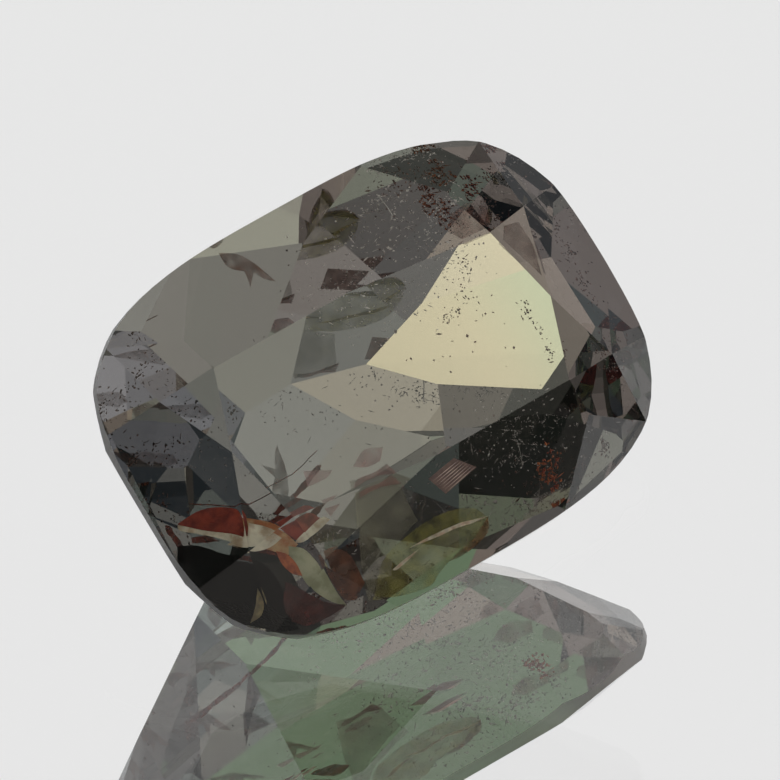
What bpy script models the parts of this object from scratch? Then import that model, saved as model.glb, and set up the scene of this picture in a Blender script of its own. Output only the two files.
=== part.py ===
"""A cushion-cut alexandrite, lying on one flat facet of its underside. Metres, +Z up.

The stone is ground the way a cutter grinds one: a cushion-shaped blank, then one flat facet
after another. It is cut in its own frame, with the table facing +Z, the long axis along X, the
far long side towards +Y and the middle of the girdle's top edge at the origin. It is then
tipped over until the broad facet below its near long side lies flat at z = 0.
"""

import math

import bmesh
import bpy
from mathutils import Matrix, Vector

MM = 0.001

# Girdle: the widest outline, a cushion with bowed sides and round corners
LENGTH = 7.10 * MM
WIDTH = 5.08 * MM
SQUARENESS = 3.3  # exponent of the outline: 2 is an ellipse, and more is squarer
GIRDLE_STEPS = 96
GIRDLE_THICKNESS = 0.16 * MM

# Crown: the table, and three rows of facets from it down to the girdle
CROWN_HEIGHT = 0.56 * MM
TABLE_HALF_LENGTH = 2.40 * MM
TABLE_HALF_WIDTH = 1.15 * MM
TABLE_CORNER = (2.08 * MM, 1.05 * MM)
TABLE_TURN = math.radians(-3.0)  # the table is cut a little askew of the girdle
GIRDLE_CORNER = math.radians(35.2)  # where round the girdle a corner main facet ends
STAR_TIP_HEIGHT = 0.65 * CROWN_HEIGHT

# Headings are in degrees anticlockwise from the stone's right end, seen from above the table.
# A facet's angle is how far it leans from the plane of the girdle
RIGHT, FAR, LEFT, NEAR = 0.0, 90.0, 180.0, 270.0

# Keel: four broad facets meet in it. Each has its heading and its angle
KEEL_DEPTH = 2.61 * MM
KEEL_OFFSET = 0.50 * MM  # towards the far side
KEEL_RIGHT = 0.50 * MM  # how far the keel runs to each side of the middle
KEEL_LEFT = 1.43 * MM
REST_FACET = (NEAR, 32.0)
FAR_FACET = (66.5, 44.5)
RIGHT_FACET = (-1.0, 34.5)
LEFT_FACET = (176.5, 47.0)

# Girdle row: the angle of the steep facets along each side, and their headings
GIRDLE_ROW = {
    FAR: (56.0, (50.0, 78.0, 90.0, 102.0, 130.0)),
    LEFT: (58.5, (160.0, 180.0, 200.0)),
    NEAR: (59.5, (230.0, 258.0, 270.0, 282.0, 310.0)),
    RIGHT: (46.0, (-20.0, 0.0, 20.0)),
}

# Middle row, two facets to a side, and corners: the side the facet belongs to, its heading and
# angle, and how deep the girdle row has run where it begins
INNER_ROW = (
    (FAR, 94.0, 52.0, 0.49 * MM),
    (FAR, 66.0, 45.5, 0.82 * MM),
    (LEFT, 156.5, 54.5, 0.66 * MM),
    (LEFT, 190.0, 46.5, 0.70 * MM),
    (NEAR, 283.5, 37.0, 0.59 * MM),
    (NEAR, 260.0, 38.0, 0.70 * MM),
    (RIGHT, 19.0, 38.5, 0.46 * MM),
    (RIGHT, -21.0, 42.0, 0.52 * MM),
    (FAR, 51.0, 49.0, 0.30 * MM),
    (FAR, 134.0, 48.0, 0.30 * MM),
    (NEAR, 226.0, 41.0, 0.30 * MM),
    (NEAR, 327.0, 47.0, 0.30 * MM),
)

# The blank is cut off square a little below the keel
BLANK_DEPTH = 2.80 * MM

# A vertex closer than this to a facet's plane is taken to lie in it
SNAP = 0.001 * MM

NAME = "alexandrite"
GREEN_GREY = (0.78, 0.83, 0.76, 1.0)
REFRACTIVE_INDEX = 1.75


def outline_point(turn, height=0.0):
    """The point of the girdle's outline at a polar angle in radians, seen from above."""
    cosine = abs(math.cos(turn)) / (LENGTH / 2)
    sine = abs(math.sin(turn)) / (WIDTH / 2)
    reach = (cosine**SQUARENESS + sine**SQUARENESS) ** (-1.0 / SQUARENESS)
    return Vector((reach * math.cos(turn), reach * math.sin(turn), height))


def towards(heading):
    """A level unit vector."""
    angle = math.radians(heading)
    return Vector((math.cos(angle), math.sin(angle), 0.0))


def girdle_reach(heading):
    """How far the outline reaches in a direction."""
    steps = 720
    turns = (2 * math.pi * step / steps for step in range(steps))
    return max(outline_point(turn).dot(towards(heading)) for turn in turns)


def below(heading, reach, depth):
    """A point at a heading and a distance from the middle, below the girdle."""
    return towards(heading) * reach - Vector((0.0, 0.0, depth))


def facing(heading, angle):
    """The outward normal of a pavilion facet, from its heading and its angle."""
    lean = math.radians(angle)
    return towards(heading) * math.sin(lean) - Vector((0.0, 0.0, math.cos(lean)))


def plane_through(a, b, c):
    """A facet through three points, as a point in it and its outward normal."""
    normal = (b - a).cross(c - a).normalized()
    middle = Vector((0.0, 0.0, -KEEL_DEPTH / 2))
    if normal.dot(middle - a) > 0:
        normal = -normal
    return a, normal


def shared_point(first, second, height):
    """Where two facets meet at a height."""
    (a, n), (b, m) = first, second
    rows = Matrix((n, m, (0.0, 0.0, 1.0)))
    return rows.inverted() @ Vector((n.dot(a), m.dot(b), height))


def table_corners():
    """The table's eight corners, anticlockwise from the right end."""
    x, y = TABLE_CORNER
    half = [(TABLE_HALF_LENGTH, 0.0), (x, y), (0.0, TABLE_HALF_WIDTH), (-x, y)]
    whole = half + [(-px, -py) for px, py in half]
    turned = Matrix.Rotation(TABLE_TURN, 3, "Z")
    return [turned @ Vector((px, py, CROWN_HEIGHT)) for px, py in whole]


def crown_facets():
    """The table, eight mains, eight stars and sixteen halves."""
    yield Vector((0.0, 0.0, CROWN_HEIGHT)), Vector((0.0, 0.0, 1.0))
    half = [0.0, GIRDLE_CORNER, math.pi / 2, math.pi - GIRDLE_CORNER]
    turns = half + [turn + math.pi for turn in half]
    corners = table_corners()
    feet = [outline_point(turn) for turn in turns]
    mains = []
    nudge = 0.02
    for corner, foot, turn in zip(corners, feet, turns):
        along = outline_point(turn + nudge) - outline_point(turn - nudge)
        mains.append(plane_through(corner, foot, foot + along))
    yield from mains
    for this in range(len(turns)):
        other = (this + 1) % len(turns)
        tip = shared_point(mains[this], mains[other], STAR_TIP_HEIGHT)
        yield plane_through(corners[this], corners[other], tip)
        gap = (turns[other] - turns[this]) % (2 * math.pi)
        between = outline_point(turns[this] + gap / 2)
        yield plane_through(tip, feet[this], between)
        yield plane_through(tip, feet[other], between)


def keel_facets():
    """The four broad facets at the bottom, which make the keel between them."""
    rest, far = facing(*REST_FACET), facing(*FAR_FACET)
    middle = Vector((0.0, KEEL_OFFSET, -KEEL_DEPTH))
    along = rest.cross(far)
    along /= along.x
    yield middle, rest
    yield middle, far
    yield middle + along * KEEL_RIGHT, facing(*RIGHT_FACET)
    yield middle - along * KEEL_LEFT, facing(*LEFT_FACET)


def outer_facets():
    """The girdle row, and the facets between it and the keel's."""
    for angle, headings in GIRDLE_ROW.values():
        for heading in headings:
            reach = girdle_reach(heading)
            yield below(heading, reach, GIRDLE_THICKNESS), facing(heading, angle)
    for side, heading, angle, depth in INNER_ROW:
        girdle_angle = math.radians(GIRDLE_ROW[side][0])
        inset = (depth - GIRDLE_THICKNESS) / math.tan(girdle_angle)
        yield below(heading, girdle_reach(heading) - inset, depth), facing(heading, angle)


def blank():
    """A prism with the girdle's outline, a little taller than the finished stone."""
    mesh = bmesh.new()
    bmesh.ops.create_cone(
        mesh, cap_ends=True, segments=GIRDLE_STEPS, radius1=1.0, radius2=1.0, depth=1.0
    )
    for vertex in mesh.verts:
        turn = math.atan2(vertex.co.y, vertex.co.x)
        height = 2 * CROWN_HEIGHT if vertex.co.z > 0 else -BLANK_DEPTH
        vertex.co = outline_point(turn, height)
    return mesh


def grind(mesh, point, normal):
    """Cuts along a plane and closes the cut with one new facet."""
    everything = mesh.verts[:] + mesh.edges[:] + mesh.faces[:]
    bmesh.ops.bisect_plane(
        mesh, geom=everything, dist=SNAP, plane_co=point, plane_no=normal, clear_outer=True
    )
    rim = [edge for edge in mesh.edges if edge.is_boundary]
    if rim:
        bmesh.ops.contextual_create(mesh, geom=rim)


def lay_down(mesh):
    """Tips the stone onto its rest facet and centres it over the origin."""
    tipped = facing(*REST_FACET).rotation_difference(Vector((0.0, 0.0, -1.0)))
    bmesh.ops.rotate(mesh, verts=mesh.verts, cent=(0, 0, 0), matrix=tipped.to_matrix())
    xs, ys, zs = zip(*(vertex.co for vertex in mesh.verts))
    middle = Vector(((min(xs) + max(xs)) / 2, (min(ys) + max(ys)) / 2, min(zs)))
    bmesh.ops.translate(mesh, verts=mesh.verts, vec=-middle)


def crystal_material():
    """Clear, faintly green-grey crystal."""
    material = bpy.data.materials.new(NAME)
    material.use_nodes = True
    shader = material.node_tree.nodes["Principled BSDF"]
    shader.inputs["Base Color"].default_value = GREEN_GREY
    shader.inputs["Roughness"].default_value = 0.0
    shader.inputs["IOR"].default_value = REFRACTIVE_INDEX
    shader.inputs["Transmission Weight"].default_value = 1.0
    return material


def build():
    """Cuts the stone and puts it in its collection."""
    for existing in list(bpy.data.objects):
        bpy.data.objects.remove(existing)
    solid = blank()
    for facets in (crown_facets(), keel_facets(), outer_facets()):
        for point, normal in facets:
            grind(solid, point, normal)
    lay_down(solid)
    bmesh.ops.recalc_face_normals(solid, faces=solid.faces)
    mesh = bpy.data.meshes.new(NAME)
    solid.to_mesh(mesh)
    solid.free()
    mesh.materials.append(crystal_material())
    collection = bpy.data.collections.new(NAME)
    bpy.context.scene.collection.children.link(collection)
    collection.objects.link(bpy.data.objects.new(NAME, mesh))


build()
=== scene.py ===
"""The looks of a cushion-cut alexandrite that lies tilted on a pale polished floor."""

import math
import random

import bmesh
import bpy
from mathutils import Matrix, Vector, noise


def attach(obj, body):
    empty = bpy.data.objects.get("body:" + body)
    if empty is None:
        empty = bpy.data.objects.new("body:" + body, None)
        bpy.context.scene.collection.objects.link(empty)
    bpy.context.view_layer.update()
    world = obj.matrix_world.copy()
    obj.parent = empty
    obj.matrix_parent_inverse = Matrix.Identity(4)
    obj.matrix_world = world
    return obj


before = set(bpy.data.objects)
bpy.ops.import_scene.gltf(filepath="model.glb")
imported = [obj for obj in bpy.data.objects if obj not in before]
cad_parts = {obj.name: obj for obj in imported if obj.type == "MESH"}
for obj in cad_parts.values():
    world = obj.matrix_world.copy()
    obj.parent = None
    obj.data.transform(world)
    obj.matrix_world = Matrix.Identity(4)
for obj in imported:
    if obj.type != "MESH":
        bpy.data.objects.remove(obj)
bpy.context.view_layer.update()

MM = 0.001
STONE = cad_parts["alexandrite"]

# The stone's own frame, in which it was cut: x along it, y to its far side, z towards its table,
# from the middle of the girdle's top edge. It leans over onto its rest facet
LEAN = math.radians(32.0)
GIRDLE_MIDDLE = Vector((0.0, -0.0452, 1.9484)) * MM
TABLE_NORMAL = (0.0, -math.sin(LEAN), math.cos(LEAN))
STONE_FRAME = Matrix.Translation(GIRDLE_MIDDLE) @ Matrix.Rotation(LEAN, 4, "X")

# The camera: where it looks from, how large the stone is in the picture, and the pixel at which
# the row frame's origin is seen. Its near and far limits are multiples of its distance
AZIMUTH = math.radians(-37.2)
ELEVATION = math.radians(48.0)
PIXELS_PER_METRE = 79_900.0
PICTURE_SIDE = 780
LENS_MM = 720.0
SENSOR_MM = 36.0
ORIGIN_PIXEL = (375.6, 487.4)
NEAR_LIMIT, FAR_LIMIT = 0.1, 100

# The light is a dim room with round soft-edged panels, added one over another. Headings are in
# degrees anticlockwise from +X, and heights in degrees above the floor. The reach is a panel's
# radius to the middle of its soft edge, and the softness is half of that edge's width
ROOM = (0.009, 0.011, 0.009)
PANELS = (
    # High up behind the stone: the key lights, and a wide softer one round them
    (101.5, 50.0, 6.0, 1.2, (0.40, 0.49, 0.27)),
    (102.5, 54.0, 3.26, 0.22, (0.125, 0.0, 0.0)),
    (112.0, 66.0, 6.0, 2.0, (0.52, 0.49, 0.29)),
    (107.0, 70.0, 24.0, 11.0, (0.33, 0.28, 0.23)),
    # Overhead and to the front right: these veil the table
    (310.0, 86.0, 10.0, 5.0, (0.20, 0.15, 0.08)),
    (316.0, 70.0, 16.0, 8.0, (0.24, 0.29, 0.26)),
    (309.0, 40.0, 19.0, 8.0, (0.35, 0.34, 0.29)),
    (292.0, 28.0, 9.0, 5.0, (0.15, 0.15, 0.10)),
    # Behind and to the right, low down
    (60.0, 14.0, 32.0, 5.0, (0.19, 0.28, 0.165)),
    (2.0, 14.0, 13.0, 5.0, (0.25, 0.25, 0.26)),
    (9.0, 19.0, 9.0, 3.0, (0.30, 0.30, 0.30)),
    # The left side, from the floor upwards
    (166.0, 5.0, 50.0, 6.0, (0.24, 0.20, 0.18)),
    (152.0, 38.0, 12.0, 5.0, (0.12, 0.10, 0.07)),
    (182.0, 42.0, 15.0, 6.0, (0.10, 0.09, 0.08)),
    (185.0, 64.0, 10.0, 5.0, (0.06, 0.06, 0.05)),
    # The front, and a faint wide one to the right
    (210.0, 24.0, 8.0, 4.0, (0.03, 0.07, 0.04)),
    (251.0, 12.0, 31.0, 17.0, (0.20, 0.19, 0.18)),
    (253.0, 18.0, 9.0, 4.0, (0.05, 0.055, 0.055)),
    (254.0, 34.0, 12.0, 6.0, (0.17, 0.15, 0.13)),
    (254.0, 6.0, 7.0, 3.0, (0.12, 0.15, 0.09)),
    (266.0, 41.0, 8.0, 4.0, (0.06, 0.13, 0.04)),
    (352.0, 31.0, 31.0, 16.0, (0.035, 0.045, 0.055)),
)
BACKDROP = 0.86

# A light path's depths are whole numbers: above this is one or more, and below it is none
BETWEEN_NONE_AND_ONE = 0.5
MAX_BOUNCES = 32
MAX_GLOSSY_BOUNCES = 16

# The floor: a clear sheet that the stone lies on, and the pale reflecting layer below it. Each
# has its height, its alpha and its roughness
FLOOR_SIDE = 4.0
FLOOR_PALE = 0.97
FLOOR_LAYERS = (
    ("floor", -1.40 * MM, 1.0, 0.01),
    ("floor_sheet", -0.01 * MM, 0.05, 0.0),
)

# The crystal. Facets that stand upright to the table, to within the limit, are the girdle's
# wall, which is unpolished
REFRACTIVE_INDEX = 1.75
ABSORPTION_TINT = (0.42, 0.40, 0.40, 1)
ABSORPTION_DENSITY = 200.0
GIRDLE_LIMIT = 0.05
GIRDLE_ROUGHNESS = 0.4


def view_axes():
    """The picture's right and up directions, and the direction back to the camera."""
    back = Vector(
        (
            math.sin(AZIMUTH) * math.cos(ELEVATION),
            -math.cos(AZIMUTH) * math.cos(ELEVATION),
            math.sin(ELEVATION),
        )
    )
    right = Vector((math.cos(AZIMUTH), math.sin(AZIMUTH), 0.0))
    return right, back.cross(right), back


def make_camera():
    """A long lens from the photo's viewpoint, which frames the stone as the photo does."""
    right, up, back = view_axes()
    data = bpy.data.cameras.new("camera")
    data.lens = LENS_MM
    data.sensor_width = SENSOR_MM
    camera = bpy.data.objects.new("camera", data)
    bpy.context.scene.collection.objects.link(camera)
    across = (PICTURE_SIDE / 2 - ORIGIN_PIXEL[0]) / PIXELS_PER_METRE
    above = (ORIGIN_PIXEL[1] - PICTURE_SIDE / 2) / PIXELS_PER_METRE
    target = right * across + up * above
    distance = LENS_MM / SENSOR_MM * PICTURE_SIDE / PIXELS_PER_METRE
    camera.location = target + back * distance
    camera.rotation_mode = "QUATERNION"
    camera.rotation_quaternion = (-back).to_track_quat("-Z", "Y")
    data.clip_start = distance * NEAR_LIMIT
    data.clip_end = distance * FAR_LIMIT
    bpy.context.scene.camera = camera


def node_maker(tree):
    """A short way to add nodes to a tree and link their inputs."""

    def make(kind, inputs=(), **settings):
        node = tree.nodes.new(kind)
        for key, value in settings.items():
            setattr(node, key, value)
        for key, value in dict(inputs).items():
            if isinstance(value, bpy.types.NodeSocket):
                tree.links.new(value, node.inputs[key])
            else:
                node.inputs[key].default_value = value
        return node

    return make


def new_material(name):
    """A material, its shader and its node maker."""
    material = bpy.data.materials.new(name)
    material.use_nodes = True
    shader = material.node_tree.nodes["Principled BSDF"]
    return material, shader, node_maker(material.node_tree)


def direction(heading, height):
    """A unit vector from a heading and a height above the floor, in degrees."""
    turn, rise = math.radians(heading), math.radians(height)
    level = math.cos(rise)
    return (level * math.cos(turn), level * math.sin(turn), math.sin(rise))


def panelled_room(make):
    """The light that comes from each direction of the room."""
    towards = make("ShaderNodeTexCoord").outputs["Generated"]
    light = ROOM
    for heading, height, reach, softness, colour in PANELS:
        near = make(
            "ShaderNodeVectorMath",
            {0: towards, 1: direction(heading, height)},
            operation="DOT_PRODUCT",
        )
        panel = make(
            "ShaderNodeMapRange",
            {
                "Value": near.outputs["Value"],
                "From Min": math.cos(math.radians(reach + softness)),
                "From Max": math.cos(math.radians(reach - softness)),
            },
            interpolation_type="SMOOTHSTEP",
        )
        brighter = make(
            "ShaderNodeVectorMath",
            {0: panel.outputs[0], 1: colour, 2: light},
            operation="MULTIPLY_ADD",
        )
        light = brighter.outputs[0]
    return light


def make_world():
    """The room for what the stone gathers, and a plain backdrop for all that is seen past it.

    The backdrop also serves rays that only the floor has turned back, and rays that an
    inclusion has scattered.
    """
    world = bpy.data.worlds.new("studio")
    bpy.context.scene.world = world
    world.use_nodes = True
    tree = world.node_tree
    tree.nodes.clear()
    make = node_maker(tree)

    def combine(operation, first, second):
        return make("ShaderNodeMath", {0: first, 1: second}, operation=operation).outputs[0]

    room = panelled_room(make)
    path = make("ShaderNodeLightPath").outputs
    by_sheet = combine("GREATER_THAN", path["Transparent Depth"], BETWEEN_NONE_AND_ONE)
    past_stone = combine("LESS_THAN", path["Transmission Depth"], BETWEEN_NONE_AND_ONE)
    floor_only = combine("MULTIPLY", by_sheet, past_stone)
    scattered = combine("GREATER_THAN", path["Diffuse Depth"], BETWEEN_NONE_AND_ONE)
    plain = combine("MAXIMUM", floor_only, path["Is Camera Ray"])
    plain = combine("MAXIMUM", plain, scattered)
    shown = make(
        "ShaderNodeMix",
        {"Factor": plain, "A": room, "B": (BACKDROP,) * 3},
        data_type="VECTOR",
    )
    background = make("ShaderNodeBackground", {"Color": shown.outputs["Result"]})
    out = make("ShaderNodeOutputWorld")
    tree.links.new(background.outputs[0], out.inputs["Surface"])


def make_floor():
    """A clear sheet over a pale polished layer, which sets the reflection off from the stone."""
    for name, height, alpha, roughness in FLOOR_LAYERS:
        bpy.ops.mesh.primitive_plane_add(size=FLOOR_SIDE, location=(0, 0, height))
        plane = bpy.context.object
        plane.name = name
        material, shader, _ = new_material(name)
        shader.inputs["Base Color"].default_value = (FLOOR_PALE, FLOOR_PALE, FLOOR_PALE, 1)
        shader.inputs["Metallic"].default_value = 1.0
        shader.inputs["Roughness"].default_value = roughness
        shader.inputs["Alpha"].default_value = alpha
        plane.data.materials.append(material)


def make_crystal():
    """Clear crystal that takes up a little light on its way, with an unpolished girdle."""
    material, shader, make = new_material("alexandrite_crystal")
    tree = material.node_tree
    shader.inputs["Base Color"].default_value = (1, 1, 1, 1)
    shader.inputs["IOR"].default_value = REFRACTIVE_INDEX
    shader.inputs["Transmission Weight"].default_value = 1.0
    true_normal = make("ShaderNodeNewGeometry").outputs["True Normal"]
    facing = make("ShaderNodeVectorMath", {0: true_normal, 1: TABLE_NORMAL}, operation="DOT_PRODUCT")
    steepness = make("ShaderNodeMath", {0: facing.outputs["Value"]}, operation="ABSOLUTE")
    wall = make("ShaderNodeMath", {0: steepness.outputs[0], 1: GIRDLE_LIMIT}, operation="LESS_THAN")
    rough = make("ShaderNodeMath", {0: wall.outputs[0], 1: GIRDLE_ROUGHNESS}, operation="MULTIPLY")
    tree.links.new(rough.outputs[0], shader.inputs["Roughness"])
    tree.links.new(true_normal, shader.inputs["Normal"])
    volume = make("ShaderNodeVolumeAbsorption")
    volume.inputs["Color"].default_value = ABSORPTION_TINT
    volume.inputs["Density"].default_value = ABSORPTION_DENSITY
    out = next(node for node in tree.nodes if node.type == "OUTPUT_MATERIAL")
    tree.links.new(volume.outputs[0], out.inputs["Volume"])
    for slot in STONE.material_slots:
        slot.material = material


# What is inside the stone. Places and sizes are in the stone's own frame, in mm, unless they are
# multiplied by MM

# Flakes and cracks stay this far below the facets. Faces smaller than a sliver don't count
MARGIN = 0.03 * MM
SLIVER_AREA = 1e-12

# A mottled surface, for the stains and for the painted highlights and shade alike: how the two
# colours share the cloud's values, where the cover thins, and bumps
PATCH_EDGES = (0.38, 0.62)
PATCH_DETAIL = 5.0
WISP_EDGES = (0.3, 0.7)
WISP_DETAIL = 3.0
WISPS_PER_PATCH = 0.6
BUMP_STRENGTH = 0.5
BUMP_HEIGHT = 0.02 * MM
COMMON_SPECULAR = 0.5

# A flake: the turn that makes a keen corner, and how it is ruffled in waves of two sizes. A point
# that would stick out moves inwards by small steps, which go up below the girdle and down above
# it. Flakes of one piece lie a step apart
SHARP_TURN = math.radians(50)
RUFFLES = ((3.1, 1.0), (9.0, 0.5))
RUFFLES_PER_LEVEL = 7
GIRDLE_LEVEL = -0.1
INWARD_STEP = 0.02
INWARD_SHRINK = 0.998
FLAKE_STEP = 0.004

# A crack: its thickness, how it winds and how its width varies, and the point inside the stone
# that a corner moves towards if it would stick out. Vector noise without a seed would make it
# wind differently each run
THREAD_SIDES = 6
THREAD_THICKNESS = 0.014
WINDING_SEED = 1
WINDING_SCALE = 6.0
WIDTH_SCALE = 9.0
WIDTH_MEAN, WIDTH_CHANGE = 0.8, 0.5
DEEP_INSIDE = Vector((0.0, 0.2, -0.9))
DEEPER_STEP = 0.01

# A grain: the corners round its waist, how its length and width vary, and how much farther than
# its own length its middle lies below the facets
GRAIN_SIDES = 4
LENGTH_SPREAD, WIDTH_SPREAD = 0.45, 0.35
GRAIN_CLEARANCE = 0.02


def in_stone(x, y, z):
    """The place in the row frame, in metres, of a place in the stone's own frame, in mm."""
    return STONE_FRAME @ (Vector((x, y, z)) * MM)


def facet_planes():
    """Every facet as an outward normal and its distance, from the solid itself."""
    planes = []
    for face in STONE.data.polygons:
        if face.area > SLIVER_AREA:
            planes.append((face.normal.copy(), face.normal.dot(face.center)))
    return planes


FACETS = facet_planes()


def depth_below_facets(point):
    return min(distance - normal.dot(point) for normal, distance in FACETS)


def mottled(name, first, second, patch, alpha=(1.0, 1.0), rough=0.5, specular=COMMON_SPECULAR):
    """A mottled surface, used for stains and for painted highlights and shade: two colours in
    patches of a size in mm, thinner in some places.
    """
    material, shader, make = new_material(name)
    tree = material.node_tree
    place = make("ShaderNodeTexCoord").outputs["Object"]
    cloud = make(
        "ShaderNodeTexNoise", {"Vector": place, "Scale": 1 / (patch * MM), "Detail": PATCH_DETAIL}
    )
    low, high = PATCH_EDGES
    sharper = make(
        "ShaderNodeMapRange",
        {"Value": cloud.outputs["Fac"], "From Min": low, "From Max": high},
        interpolation_type="SMOOTHSTEP",
    )
    colour = make(
        "ShaderNodeMix",
        {"Factor": sharper.outputs[0], "A": (*first, 1), "B": (*second, 1)},
        data_type="RGBA",
    )
    bump = make(
        "ShaderNodeBump",
        {"Height": cloud.outputs["Fac"], "Strength": BUMP_STRENGTH, "Distance": BUMP_HEIGHT},
    )
    tree.links.new(colour.outputs["Result"], shader.inputs["Base Color"])
    tree.links.new(bump.outputs[0], shader.inputs["Normal"])
    shader.inputs["Roughness"].default_value = rough
    shader.inputs["Specular IOR Level"].default_value = specular
    thin, thick = alpha
    shader.inputs["Alpha"].default_value = thick
    if thin < thick:
        scale = WISPS_PER_PATCH / (patch * MM)
        wisp = make(
            "ShaderNodeTexNoise", {"Vector": place, "Scale": scale, "Detail": WISP_DETAIL}
        )
        low, high = WISP_EDGES
        cover = make(
            "ShaderNodeMapRange",
            {
                "Value": wisp.outputs["Fac"],
                "From Min": low,
                "From Max": high,
                "To Min": thin,
                "To Max": thick,
            },
        )
        tree.links.new(cover.outputs[0], shader.inputs["Alpha"])
    return material


def keen_rim(corners, steps=4):
    """A closed curve through the corners, which bends at the blunt ones and not at the sharp."""
    count = len(corners)
    points = [Vector(corner) for corner in corners]
    slopes = []
    for this in range(count):
        before, here, after = points[this - 1], points[this], points[(this + 1) % count]
        sharp = (here - before).angle(after - here) > SHARP_TURN
        slopes.append(None if sharp else (after - before) / 2)
    rim = []
    for this in range(count):
        following = (this + 1) % count
        start, end = points[this], points[following]
        leave, arrive = (slope or end - start for slope in (slopes[this], slopes[following]))
        for step in range(steps):
            t = step / steps
            rim.append(
                start * (2 * t**3 - 3 * t * t + 1)
                + leave * (t**3 - 2 * t * t + t)
                + end * (3 * t * t - 2 * t**3)
                + arrive * (t**3 - t * t)
            )
    return rim


def finish_piece(name, mesh, material):
    """Turns a bmesh in the row frame into a piece that rides with the stone."""
    data = bpy.data.meshes.new(name)
    mesh.to_mesh(data)
    mesh.free()
    data.materials.append(material)
    piece = bpy.data.objects.new(name, data)
    bpy.context.scene.collection.objects.link(piece)
    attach(piece, "root")


def flake_point(spot, level, slope, ruffle, lift):
    """A flake's point over a spot, ruffled, and moved inwards if it would stick out."""
    wave = 0.0
    for scale, share in RUFFLES:
        where = Vector((spot.x * scale, spot.y * scale, level * RUFFLES_PER_LEVEL))
        wave += share * noise.noise(where)
    height = level + slope * spot.y + ruffle * wave
    height += lift
    while depth_below_facets(in_stone(spot.x, spot.y, height)) < MARGIN:
        height += INWARD_STEP if height < GIRDLE_LEVEL else -INWARD_STEP
        spot = spot * INWARD_SHRINK
    return in_stone(spot.x, spot.y, height)


def add_flake(mesh, corners, level, slope, thickness=0.02, ruffle=0.03, rings=6):
    """A thin crumpled lens, closed at its rim, on the plane z = level + slope * y."""
    rim = keen_rim(corners)
    count = len(rim)
    middle = sum(rim, Vector((0, 0))) / count
    rows = {}
    for ring in range(rings + 1):
        reach = ring / rings
        for side in (1, -1) if 0 < ring < rings else (1,):
            lift = side * thickness / 2 * (1 - reach**2)
            row = []
            for corner in rim if ring else (middle,):
                spot = middle + (corner - middle) * reach
                row.append(mesh.verts.new(flake_point(spot, level, slope, ruffle, lift)))
            rows[side, ring] = row
    for side in (1, -1):
        inner = [rows[1, 0][0]] * count
        for ring in range(1, rings + 1):
            outer = rows[side if ring < rings else 1, ring]
            for turn in range(count):
                after = (turn + 1) % count
                face = [inner[turn], outer[turn], outer[after], inner[after]]
                mesh.faces.new(face[:3] if ring == 1 else face)
            inner = outer


def make_flakes(name, material, level, slope, outlines, **shape):
    """One piece of one or more flakes."""
    mesh = bmesh.new()
    for step, corners in enumerate(outlines):
        add_flake(mesh, corners, level + FLAKE_STEP * step, slope, **shape)
    bmesh.ops.recalc_face_normals(mesh, faces=mesh.faces)
    finish_piece(name, mesh, material)


def add_grain(mesh, middle, along, length, width):
    """A tiny six-cornered crystal."""
    sideways = along.orthogonal().normalized()
    other = along.cross(sideways)
    tips = [mesh.verts.new(middle + along * reach) for reach in (length / 2, -length / 2)]
    waist = []
    for turn in range(GRAIN_SIDES):
        angle = math.radians((turn + 0.5) * 360 / GRAIN_SIDES)
        offset = (sideways * math.cos(angle) + other * math.sin(angle)) * width / 2
        waist.append(mesh.verts.new(middle + offset))
    for turn in range(GRAIN_SIDES):
        after = (turn + 1) % GRAIN_SIDES
        mesh.faces.new((tips[0], waist[turn], waist[after]))
        mesh.faces.new((tips[1], waist[after], waist[turn]))


def thread_path(corners, steps, wander):
    """Points that wind from corner to corner."""
    noise.seed_set(WINDING_SEED)
    path = []
    for start, end in zip(corners, corners[1:]):
        for step in range(steps):
            path.append(Vector(start).lerp(Vector(end), step / steps))
    path.append(Vector(corners[-1]))
    return [spot + noise.noise_vector(spot * WINDING_SCALE) * wander for spot in path]


def add_thread(mesh, corners, width, broad_way, steps=8, wander=0.012):
    """A crack through the corners, which is flat, broad one way, and pointed at its ends."""
    path = thread_path(corners, steps, wander)
    tips = [mesh.verts.new(in_stone(*path[0])), mesh.verts.new(in_stone(*path[-1]))]
    rings = []
    for before, here, after in zip(path, path[1:], path[2:]):
        along = (after - before).normalized()
        thin = along.cross(Vector(broad_way)).normalized()
        broad = thin.cross(along)
        share = WIDTH_MEAN + WIDTH_CHANGE * noise.noise(here * WIDTH_SCALE)
        reach = width / 2 * share
        ring = []
        for turn in range(THREAD_SIDES):
            angle = math.radians(360 / THREAD_SIDES * turn)
            spot = here + broad * math.cos(angle) * reach
            spot += thin * math.sin(angle) * THREAD_THICKNESS / 2
            while depth_below_facets(in_stone(*spot)) < MARGIN:
                spot = spot.lerp(DEEP_INSIDE, DEEPER_STEP)
            ring.append(mesh.verts.new(in_stone(*spot)))
        rings.append(ring)
    for turn in range(THREAD_SIDES):
        after = (turn + 1) % THREAD_SIDES
        mesh.faces.new((tips[0], rings[0][turn], rings[0][after]))
        mesh.faces.new((tips[1], rings[-1][after], rings[-1][turn]))
        for ring, other in zip(rings, rings[1:]):
            mesh.faces.new((ring[turn], other[turn], other[after], ring[after]))


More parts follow.
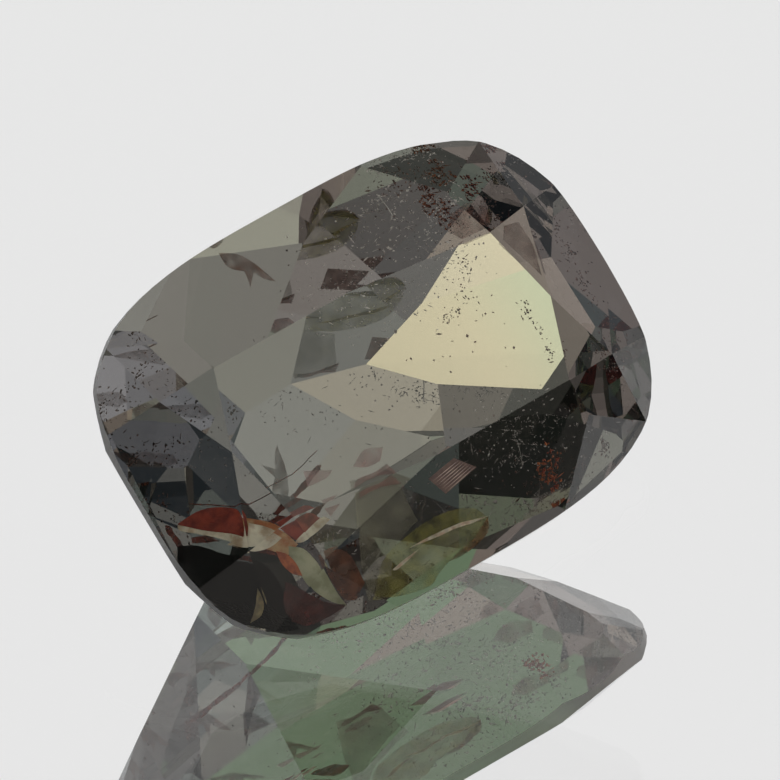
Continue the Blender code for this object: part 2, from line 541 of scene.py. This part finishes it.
def make_cloud(name, material, seed, count, clumps, length, width, grain_way=None, spread=1.0):
    """Grains scattered round the middles of their clumps, all inside the stone."""
    chance = random.Random(seed)
    mesh = bmesh.new()
    made = 0
    while made < count:
        middle, size = chance.choice(clumps)
        spot = in_stone(*(m + s * chance.gauss(0, 1) for m, s in zip(middle, size)))
        long = length * chance.lognormvariate(0, LENGTH_SPREAD)
        wide = width * chance.lognormvariate(0, WIDTH_SPREAD)
        loose = Vector([chance.gauss(0, 1) for _ in range(3)])
        along = loose if grain_way is None else Vector(grain_way) + loose * spread
        if depth_below_facets(spot) < (GRAIN_CLEARANCE + long) * MM:
            continue
        add_grain(mesh, spot, along.normalized(), long * MM, wide * MM)
        made += 1
    finish_piece(name, mesh, material)


# The rust-stained fissure below the crown at the left end, with a near-black veil of painted shade
# below it. Most of the fissure lies on one slanting plane
FISSURE_LEVEL, FISSURE_SLOPE = 0.08, 0.36
RED_LENS = (
    (-3.26, -0.28), (-2.95, -0.27), (-2.70, -0.34), (-2.45, -0.48), (-2.41, -0.63),
    (-2.46, -0.83), (-2.58, -0.81), (-3.00, -0.53), (-3.25, -0.35),
)
RED_WING = (
    (-2.09, -0.85), (-1.92, -0.85), (-1.72, -0.87), (-1.61, -1.00), (-1.90, -1.07), (-1.99, -1.02),
)
RED_SPUR = (
    (-2.26, -1.07), (-2.14, -1.17), (-2.08, -1.32), (-2.07, -1.49), (-2.19, -1.40), (-2.26, -1.23),
)
# The cream edges are painted highlights: pale bright flakes along the stains where the fissure's
# edges catch the light
PAINTED_EDGE_HIGHLIGHTS = (
    (
        (-3.28, -0.29), (-2.99, -0.50), (-2.57, -0.77), (-2.48, -0.90), (-2.63, -0.85),
        (-2.99, -0.56), (-3.27, -0.37),
    ),
    (
        (-1.51, -1.06), (-1.61, -0.99), (-1.89, -1.05), (-1.99, -1.09), (-1.88, -1.13),
        (-1.70, -1.11),
    ),
    (
        (-2.43, -0.69), (-2.23, -0.85), (-2.13, -0.97), (-2.31, -1.00), (-2.52, -0.96),
        (-2.76, -0.80), (-2.51, -0.82),
    ),
)
BRASS_MIDDLE = (
    (-2.42, -0.62), (-2.10, -0.87), (-1.95, -1.12), (-2.14, -1.19), (-2.37, -0.99),
    (-2.52, -0.94), (-2.47, -0.81),
)
PALE_LEAF = (
    (-2.08, -1.09), (-1.91, -1.20), (-1.83, -1.38), (-1.80, -1.51), (-1.76, -1.77),
    (-1.70, -2.02), (-1.87, -1.87), (-2.04, -1.64), (-2.09, -1.41), (-2.12, -1.21),
)
BROWN_PATCH = (
    (-1.75, -1.35), (-1.66, -1.35), (-1.53, -1.40), (-1.44, -1.54), (-1.42, -1.76),
    (-1.41, -1.89), (-1.55, -2.00), (-1.69, -1.93), (-1.75, -1.67), (-1.76, -1.51),
)
DARK_PATCH = (
    (-2.36, -1.48), (-2.27, -1.62), (-2.02, -1.95), (-1.81, -2.10), (-2.09, -2.13),
    (-2.40, -2.10), (-2.56, -1.94), (-2.52, -1.71),
)
DARK_LEVEL = -0.25
# SHADE outlines painted shade: a near-black veil below the fissure, a dark sheet that darkens what
# the crown shows there
SHADE = (
    (-3.27, -0.50), (-3.00, -0.62), (-2.71, -0.87), (-2.46, -1.03), (-2.33, -1.28),
    (-2.33, -1.62), (-2.42, -2.02), (-2.78, -1.95), (-3.05, -1.70), (-3.25, -1.35),
    (-3.38, -0.80),
)
OLIVE_SPIKE = ((-2.70, -1.40), (-2.72, -1.58), (-2.84, -1.73), (-3.03, -1.76), (-2.86, -1.60))
SHADE_LEVEL, SHADE_SLOPE = -0.20, 0.30


def make_fissure():
    """Its pieces lie a few hundredths above and below one another."""
    rust = mottled("rust_stain", (0.36, 0.055, 0.025), (0.20, 0.028, 0.016), 0.16, (0.75, 1.0))
    orange = mottled("orange_stain", (0.52, 0.13, 0.03), (0.34, 0.07, 0.02), 0.08, (0.7, 1.0))
    brass = mottled("brass_stain", (0.56, 0.36, 0.16), (0.46, 0.16, 0.05), 0.14, (0.75, 1.0))
    # Painted highlights: the pale cream colours of the fissure's bright edges
    cream = mottled("painted_edge_highlight", (0.80, 0.74, 0.54), (0.55, 0.42, 0.26), 0.16, (0.6, 1.0))
    leaf = mottled("pale_leaf", (0.52, 0.52, 0.32), (0.32, 0.33, 0.18), 0.25, (0.75, 1.0))
    brown = mottled("brown_stain", (0.24, 0.085, 0.035), (0.14, 0.050, 0.022), 0.18, (0.6, 0.9))
    dark = mottled("dark_stain", (0.07, 0.012, 0.008), (0.15, 0.022, 0.012), 0.16, (0.6, 0.9))
    # Painted shade: near-black colours with little shine, for the veil that darkens the view below
    # the fissure
    painted_shade_colours = (0.002, 0.002, 0.002), (0.007, 0.006, 0.005)
    shade = mottled("painted_shade_veil", *painted_shade_colours, 0.30, (0.80, 0.97), specular=0.1)
    olive = mottled("olive_spike", (0.30, 0.24, 0.10), (0.18, 0.14, 0.07), 0.12, (0.6, 1.0))
    level, slope = FISSURE_LEVEL, FISSURE_SLOPE
    make_flakes("fissure_red", rust, level, slope, (RED_LENS, RED_WING))
    make_flakes("fissure_spur", orange, level + 0.03, slope, (RED_SPUR,), thickness=0.015)
    make_flakes("fissure_painted_highlights", cream, level + 0.03, slope, PAINTED_EDGE_HIGHLIGHTS, thickness=0.015)
    make_flakes("fissure_middle", brass, level + 0.01, slope, (BRASS_MIDDLE,))
    make_flakes("fissure_leaf", leaf, level + 0.02, slope, (PALE_LEAF,))
    make_flakes("fissure_brown", brown, level - 0.03, slope, (BROWN_PATCH,))
    make_flakes("fissure_dark", dark, DARK_LEVEL, 0.0, (DARK_PATCH,))
    make_flakes("fissure_spike", olive, SHADE_LEVEL, 0.0, (OLIVE_SPIKE,))
    make_flakes("fissure_painted_shade", shade, SHADE_LEVEL, SHADE_SLOPE, (SHADE,))


# The feather: a thin olive veil below the near side of the crown, with a brown rim and two
# painted highlights where it glints, and the hazy veil beside it
FEATHER_LEVEL, FEATHER_SLOPE = -0.72, -0.18
FEATHER = (
    (-0.64, -1.67), (-0.32, -1.63), (0.03, -1.67), (0.32, -1.81), (0.42, -2.01),
    (0.30, -2.16), (0.10, -2.23), (-0.14, -2.25), (-0.35, -2.27), (-0.55, -2.35),
    (-0.73, -2.43), (-1.14, -2.34), (-1.46, -2.19), (-1.32, -2.02), (-1.16, -1.84),
    (-0.93, -1.73),
)
FEATHER_RIM = (
    (0.43, -1.99), (0.32, -2.18), (0.09, -2.26), (-0.15, -2.29), (-0.33, -2.27),
    (-0.12, -2.21), (0.09, -2.17), (0.28, -2.10),
)
# The feather's glints are painted highlights: bright flakes in the place of the light it reflects
FEATHER_GLINTS = (
    ((-1.07, -1.99), (-0.85, -1.94), (-0.62, -1.92), (-0.83, -1.98), (-1.02, -2.02)),
    (
        (-0.72, -1.84), (-0.36, -1.85), (0.00, -1.88), (0.19, -1.93), (0.41, -1.99),
        (0.16, -1.97), (-0.03, -1.92), (-0.37, -1.90),
    ),
)
HAZE = (
    (-0.96, -0.86), (-0.80, -0.92), (-0.63, -0.96), (-0.45, -0.96), (-0.40, -1.08),
    (-0.42, -1.32), (-0.42, -1.55), (-0.67, -1.63), (-0.97, -1.74), (-1.16, -1.84),
    (-1.37, -2.07), (-1.50, -2.18), (-1.37, -1.67), (-1.16, -1.24),
)
RED_ARC = (
    (-0.98, -0.97), (-0.87, -0.89), (-0.63, -0.92), (-0.42, -0.90), (-0.37, -1.07),
    (-0.46, -0.97), (-0.66, -0.98), (-0.85, -0.95),
)


def make_feather():
    """Its rim and painted highlights lie just above the veil, and the haze just below."""
    veil = mottled("feather_veil", (0.38, 0.35, 0.07), (0.20, 0.18, 0.03), 0.18, (0.15, 0.5), 0.35)
    rim = mottled("feather_rim", (0.18, 0.09, 0.03), (0.34, 0.20, 0.08), 0.08, (0.3, 0.8))
    # Painted highlights: near-white colours for the feather's glints
    glint = mottled("feather_glint", (0.95, 0.86, 0.66), (0.75, 0.55, 0.38), 0.08, (0.4, 1.0))
    haze = mottled("haze_veil", (0.34, 0.32, 0.20), (0.22, 0.20, 0.13), 0.30, (0.12, 0.40), 0.4)
    arc = mottled("arc_stain", (0.34, 0.12, 0.09), (0.22, 0.09, 0.07), 0.12, (0.2, 0.6))
    level, slope = FEATHER_LEVEL, FEATHER_SLOPE
    make_flakes("feather", veil, level, slope, (FEATHER,))
    make_flakes("feather_rim", rim, level + 0.02, slope, (FEATHER_RIM,), thickness=0.015)
    make_flakes("feather_glints", glint, level + 0.04, slope, FEATHER_GLINTS, thickness=0.01)
    make_flakes("haze", haze, level - 0.04, slope, (HAZE,))
    make_flakes("red_arc", arc, level - 0.01, slope, (RED_ARC,), thickness=0.01)


# Small stained patches between the feather and the keel, and a curl and two clouds below the
# far side
PATCH_LEVEL, PATCH_SLOPE = -0.05, 0.30
PINK_PATCHES = (
    ((-1.53, -0.48), (-1.17, -0.65), (-1.31, -0.70), (-1.57, -0.68)),
    ((-1.50, -0.90), (-1.27, -0.94), (-1.46, -1.02)),
    ((-0.91, -0.74), (-0.67, -0.62), (-0.42, -0.71), (-0.54, -0.84), (-0.73, -0.83)),
)
TUBE_PATCH = ((-0.06, -1.16), (0.37, -1.09), (0.61, -1.33), (0.08, -1.43))
CURL_LEVEL = -0.40
CURL = (
    (-0.85, 2.34), (-0.65, 2.20), (-0.52, 1.96), (-0.43, 1.62), (-0.53, 1.71), (-0.62, 1.87),
    (-0.76, 1.72), (-0.70, 1.94), (-0.85, 2.10),
)
CLOUD_LEVEL, CLOUD_SLOPE = -0.15, 0.1
BROWN_CLOUDS = (
    ((1.79, 1.17), (1.98, 1.33), (2.24, 1.35), (2.41, 1.18), (2.28, 0.95), (1.90, 0.98)),
    ((2.43, 0.93), (2.65, 0.89), (2.65, 0.55), (2.52, 0.15), (2.44, 0.40), (2.31, 0.78)),
)


def make_patches():
    pink = mottled("pale_pink", (0.50, 0.27, 0.23), (0.36, 0.21, 0.19), 0.14, (0.2, 0.5))
    flesh = mottled("tube_patch", (0.40, 0.26, 0.21), (0.30, 0.19, 0.16), 0.12, (0.5, 0.8))
    curl = mottled("curl_stain", (0.24, 0.09, 0.045), (0.14, 0.055, 0.03), 0.10, (0.20, 0.65))
    cloud = mottled("brown_cloud", (0.26, 0.11, 0.07), (0.15, 0.07, 0.05), 0.14, (0.1, 0.45))
    level, slope = PATCH_LEVEL, PATCH_SLOPE
    make_flakes("pink_patches", pink, level, slope, PINK_PATCHES, thickness=0.01)
    make_flakes("tube_patch", flesh, level, slope, (TUBE_PATCH,), ruffle=0.0)
    make_flakes("curl", curl, CURL_LEVEL, 0.0, (CURL,), ruffle=0.08)
    make_flakes("brown_clouds", cloud, CLOUD_LEVEL, CLOUD_SLOPE, BROWN_CLOUDS)


# The growth tubes over the tube patch: the first and the last, and how far above it they lie
TUBES = (((-0.02, -1.22), (0.42, -1.15)), ((0.09, -1.42), (0.60, -1.32)))
TUBE_COUNT = 7
TUBE_LIFT = 0.03
TUBE_WIDTH = 0.016 * MM


def make_tubes():
    """Slender pointed tubes side by side, spread evenly from the first to the last."""
    pale = mottled("tube_wall", (0.90, 0.72, 0.60), (0.70, 0.54, 0.45), 0.10)
    mesh = bmesh.new()
    first, last = (tuple(Vector(end) for end in tube) for tube in TUBES)
    level = PATCH_LEVEL + TUBE_LIFT
    for tube in range(TUBE_COUNT):
        share = tube / (TUBE_COUNT - 1)
        spots = (a.lerp(b, share) for a, b in zip(first, last))
        start, end = (in_stone(s.x, s.y, level + PATCH_SLOPE * s.y) for s in spots)
        along = end - start
        add_grain(mesh, (start + end) / 2, along.normalized(), along.length, TUBE_WIDTH)
    finish_piece("growth_tubes", mesh, pale)


# Two winding cracks: a stained one close to the underside, and a fine one below the far side.
# Each has its width, and the direction in which it is broad
RED_CRACK = (
    (-0.80, -0.28, -1.93), (-1.30, -0.40, -1.80), (-1.73, -0.38, -1.70), (-2.36, -0.08, -1.42),
)
RED_CRACK_SHAPE = 0.090, (0.23, 0.03, -0.97)
WHITE_CRACK = ((1.33, 2.02, -0.15), (1.34, 1.84, -0.16), (1.34, 1.66, -0.15))
WHITE_CRACK_SHAPE = 0.016, (1.0, 0.0, 0.0)


def make_cracks():
    red = mottled("crack_stain", (0.30, 0.05, 0.02), (0.16, 0.03, 0.015), 0.10, (0.5, 0.9))
    pale = mottled("pale_crack", (0.80, 0.78, 0.70), (0.50, 0.48, 0.42), 0.16)
    for name, corners, shape, material in (
        ("red_crack", RED_CRACK, RED_CRACK_SHAPE, red),
        ("white_crack", WHITE_CRACK, WHITE_CRACK_SHAPE, pale),
    ):
        mesh = bmesh.new()
        add_thread(mesh, corners, *shape)
        bmesh.ops.recalc_face_normals(mesh, faces=mesh.faces)
        finish_piece(name, mesh, material)


# Clouds of grains and needles: the middle of each clump and how far it spreads, in mm
FAR_CLUMPS = (
    ((1.38, 1.90, -0.20), (0.28, 0.10, 0.08)),
    ((1.60, 1.36, -0.25), (0.28, 0.22, 0.12)),
    ((1.70, 0.97, -0.25), (0.22, 0.20, 0.12)),
    ((1.95, 1.38, -0.30), (0.20, 0.15, 0.10)),
    ((0.80, 0.78, -0.15), (0.30, 0.25, 0.15)),
    ((0.15, 1.12, -0.15), (0.28, 0.25, 0.15)),
    ((0.85, 1.60, -0.20), (0.35, 0.22, 0.12)),
)
RIGHT_CLUMPS = (
    ((1.56, -1.08, -0.20), (0.25, 0.15, 0.12)),
    ((1.22, -1.15, -0.20), (0.20, 0.15, 0.12)),
    ((1.60, -1.47, -0.25), (0.25, 0.20, 0.12)),
    ((0.95, -1.40, -0.25), (0.25, 0.20, 0.12)),
    ((1.05, -0.95, -0.10), (0.30, 0.20, 0.12)),
)
KEEL_CLUMPS = (
    ((1.95, 0.80, -0.70), (0.06, 0.07, 0.06)),
    ((1.70, 0.54, -0.70), (0.08, 0.08, 0.08)),
    ((1.43, 0.32, -0.70), (0.07, 0.05, 0.06)),
    ((1.25, 0.25, -0.90), (0.35, 0.30, 0.25)),
    ((2.32, -0.10, -0.75), (0.05, 0.09, 0.05)),
    ((2.35, -0.36, -0.75), (0.04, 0.10, 0.05)),
    ((2.31, -0.68, -0.70), (0.05, 0.08, 0.05)),
    ((1.80, -0.10, -0.80), (0.30, 0.30, 0.25)),
)
RED_CLUMPS = (
    ((1.50, -1.98, -0.55), (0.05, 0.09, 0.05)),
    ((1.44, -1.84, -0.50), (0.07, 0.08, 0.06)),
    ((1.58, -1.72, -0.45), (0.10, 0.08, 0.06)),
)

# The direction in which needles and flecks mostly lie
NEEDLE_WAY = STONE_FRAME.to_3x3() @ Vector((0.8, -0.2, 0.1))


def make_clouds():
    """Each cloud has its seed, its count, and its grains' middling length and width in mm."""
    white = mottled("pale_grain", (0.75, 0.70, 0.62), (0.22, 0.19, 0.17), 0.15)
    brown = mottled("brown_grain", (0.24, 0.13, 0.09), (0.10, 0.06, 0.05), 0.05)
    red = mottled("red_grain", (0.45, 0.13, 0.04), (0.20, 0.035, 0.02), 0.08)
    make_cloud("far_grains", white, 11, 520, FAR_CLUMPS, 0.028, 0.019)
    make_cloud("far_needles", white, 12, 110, FAR_CLUMPS, 0.08, 0.011, NEEDLE_WAY, 0.45)
    make_cloud("far_flecks", white, 16, 40, FAR_CLUMPS, 0.055, 0.026, NEEDLE_WAY, 0.6)
    make_cloud("right_grains", white, 13, 90, RIGHT_CLUMPS, 0.030, 0.016)
    make_cloud("keel_grains", brown, 14, 150, KEEL_CLUMPS, 0.035, 0.022)
    make_cloud("red_grains", red, 15, 70, RED_CLUMPS, 0.06, 0.032)


make_camera()
make_world()
make_floor()
make_crystal()
make_fissure()
make_feather()
make_patches()
make_tubes()
make_cracks()
make_clouds()

scene = bpy.context.scene
scene.view_settings.view_transform = "Standard"
scene.cycles.max_bounces = MAX_BOUNCES
scene.cycles.transmission_bounces = MAX_BOUNCES
scene.cycles.glossy_bounces = MAX_GLOSSY_BOUNCES
